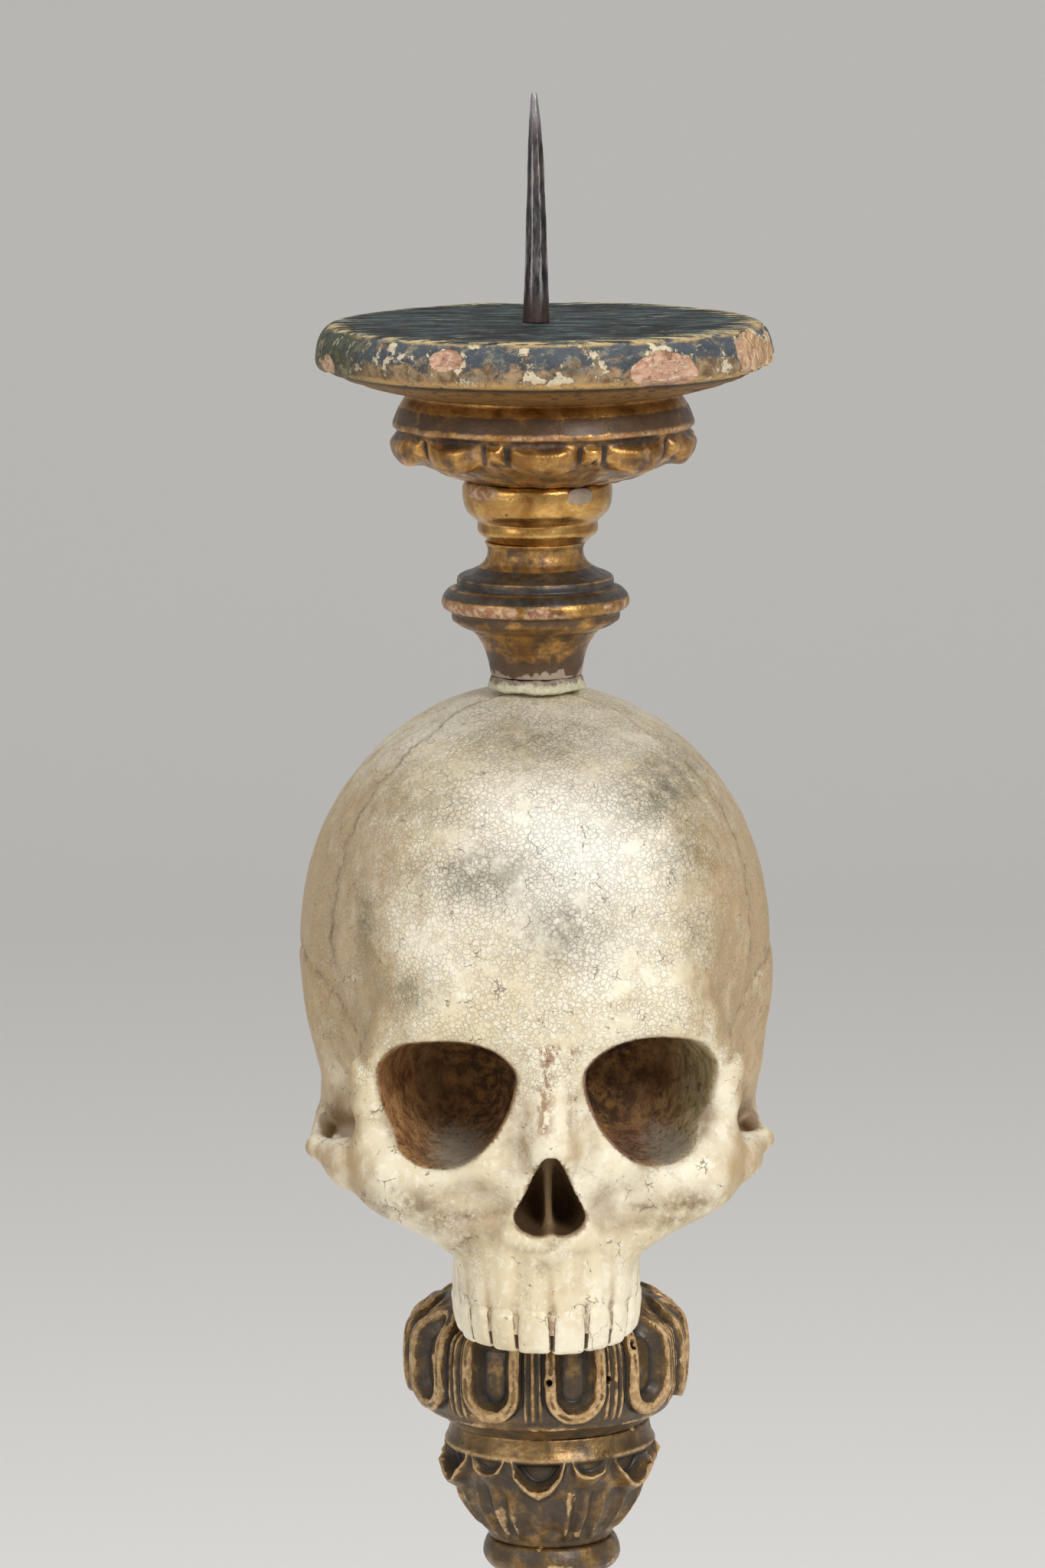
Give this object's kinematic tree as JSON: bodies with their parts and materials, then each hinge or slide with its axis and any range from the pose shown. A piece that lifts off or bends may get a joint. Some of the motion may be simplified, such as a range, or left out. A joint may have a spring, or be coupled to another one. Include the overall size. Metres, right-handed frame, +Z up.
{
  "type": "pricket candlestick",
  "caption": "Pricket candlestick in carved and gilded wood: drip pan with iron spike, turned neck, a skull in the stem, carved cup and vase, baluster and a pedestal on bun feet.",
  "frame": {"origin": "on the stem's axis at the table plane, in the middle of the feet", "axes": "+Z up along the stem to the pricket, the skull looks along -Y, +X to the viewer's right"},
  "size_m": [0.1638, 0.1609, 0.611],
  "materials": {
    "wrought_iron": "forged, dark, worn bright at the tip",
    "patinated_pan": "blue-black paint flaking to cream gesso and pink wood",
    "bronzed_gilding": "old gilding, rubbed and browned",
    "burnished_gilding": "burnished gilding with dark spots",
    "dark_gilding": "dark patina over gilding, gold at the edges",
    "bone_paint": "ivory paint with fine crackle",
    "filler": "grey filler, rough",
    "bare_wood": "bare, hidden in the joints"
  },
  "bodies": {
    "root": {"pricket": "wrought_iron", "drip_pan": "patinated_pan", "pan_collar": "bronzed_gilding", "neck_bulb": "burnished_gilding", "neck_ring": "bronzed_gilding", "filler_bead": "filler", "neck_dowel": "bare_wood", "skull": "bone_paint", "cup_dowel": "bare_wood", "gadroon_cup": "dark_gilding", "leaf_vase": "dark_gilding", "ring_knop": "dark_gilding", "baluster": "bronzed_gilding", "lower_ring": "burnished_gilding", "pedestal_cap": "dark_gilding", "pedestal": "bronzed_gilding", "base_dowel": "bare_wood", "plinth": "dark_gilding", "foot_left": "dark_gilding", "foot_right": "dark_gilding", "foot_back": "dark_gilding", "peg_left": "bare_wood", "peg_right": "bare_wood", "peg_back": "bare_wood"}
  },
  "joints": []
}
